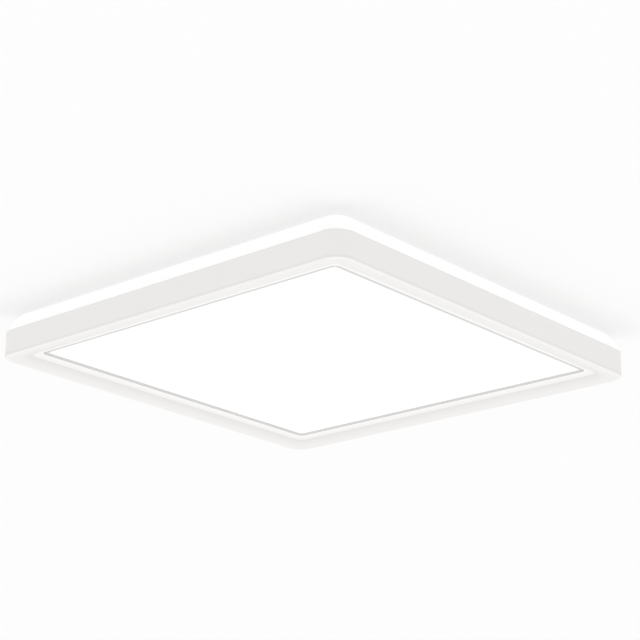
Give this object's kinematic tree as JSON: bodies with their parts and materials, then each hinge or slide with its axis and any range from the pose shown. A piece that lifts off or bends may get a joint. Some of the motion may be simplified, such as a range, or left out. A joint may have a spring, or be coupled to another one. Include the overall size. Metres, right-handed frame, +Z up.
{
  "type": "flush mount ceiling light",
  "caption": "Flat square ceiling light with a large opal front, a white bezel frame and a glowing ring towards the ceiling, on a spring-clip bracket.",
  "frame": {"origin": "centre of the bracket's face on the ceiling, midway between its two screw slots", "axes": "+Z up into the ceiling, +X along the bracket towards one spring clip, +Y towards the driver"},
  "size_m": [0.294, 0.294, 0.029],
  "materials": {
    "white_frame": "satin moulded white",
    "front_opal": "opal, satin, lit",
    "ring_opal": "opal, satin, lit",
    "clear_acrylic": "clear, polished edges",
    "white_film": "matt white film",
    "white_foam": "fine closed foam",
    "sheet_aluminium": "mill finish sheet",
    "board_white": "white solder mask",
    "led_phosphor": "yellow phosphor in a white body",
    "screw_steel": "zinc plated",
    "white_pan": "white powder coat",
    "zinc_steel": "zinc plated sheet",
    "spring_steel": "rolled spring steel",
    "rivet_steel": "plain",
    "grommet_rubber": "matt",
    "box_plastic": "white moulded",
    "terminal_plastic": "light grey moulded",
    "button_plastic": "orange moulded",
    "contact_brass": "bright",
    "driver_plastic": "white moulded",
    "board_green": "green solder mask",
    "ferrite": "dark grey ferrite",
    "winding_tape": "yellow tape",
    "capacitor_sleeve": "dark sleeve",
    "component_black": "moulded",
    "wire_brown": "insulation",
    "wire_blue": "insulation",
    "wire_white": "insulation"
  },
  "bodies": {
    "root": {"ceiling_bracket": "zinc_steel", "spring_clip_right": "spring_steel", "spring_clip_left": "spring_steel", "clip_rivets": "rivet_steel"},
    "lid": {"wiring_lid": "box_plastic"},
    "button_neutral": {"release_button_neutral": "button_plastic"},
    "button_live": {"release_button_live": "button_plastic"},
    "light": {"bezel_frame": "white_frame", "front_diffuser": "front_opal", "light_guide_plate": "clear_acrylic", "reflector_sheet": "white_film", "edge_foam_strips": "white_foam", "light_tray": "sheet_aluminium", "front_led_board_right": "board_white", "front_led_board_left": "board_white", "front_led_chips": "led_phosphor", "glow_ring": "ring_opal", "ring_screws": "screw_steel", "rear_pan": "white_pan", "pan_screws": "screw_steel", "halo_led_board_east": "board_white", "halo_led_board_north": "board_white", "halo_led_board_west": "board_white", "halo_led_board_south": "board_white", "halo_led_chips": "led_phosphor", "cable_grommet": "grommet_rubber", "wiring_box": "box_plastic", "wiring_box_screws": "screw_steel", "cable_clamp": "box_plastic", "cable_clamp_screws": "screw_steel", "hinge_pins": "screw_steel", "terminal_block": "terminal_plastic", "terminal_contacts": "contact_brass", "driver_case": "driver_plastic", "driver_case_lid": "driver_plastic", "driver_screws": "screw_steel", "driver_circuit_board": "board_green", "driver_transformer": "ferrite", "driver_winding": "winding_tape", "driver_capacitors": "capacitor_sleeve", "driver_small_parts": "component_black", "mains_lead_live": "wire_brown", "mains_lead_neutral": "wire_blue", "front_leads_right": "wire_white", "front_leads_left": "wire_white", "halo_leads": "wire_white", "halo_jumper_wires": "wire_white"}
  },
  "joints": [
    {"name": "light_drop", "type": "slide", "parent": "root", "child": "light", "axis": [0, 0, -1], "range_m": [0, 0.04], "deforming": ["spring_clip_right", "spring_clip_left"]},
    {"name": "lid_hinge", "type": "hinge", "parent": "light", "child": "lid", "pos_m": [0, -0.0814, -0.00135], "axis": [1, 0, 0], "range_deg": [0, 110]},
    {"name": "button_neutral", "type": "slide", "parent": "light", "child": "button_neutral", "axis": [0, 0, -1], "range_m": [0, 0.0012], "stiffness_N_per_m": 900},
    {"name": "button_live", "type": "slide", "parent": "light", "child": "button_live", "axis": [0, 0, -1], "range_m": [0, 0.0012], "stiffness_N_per_m": 900}
  ]
}
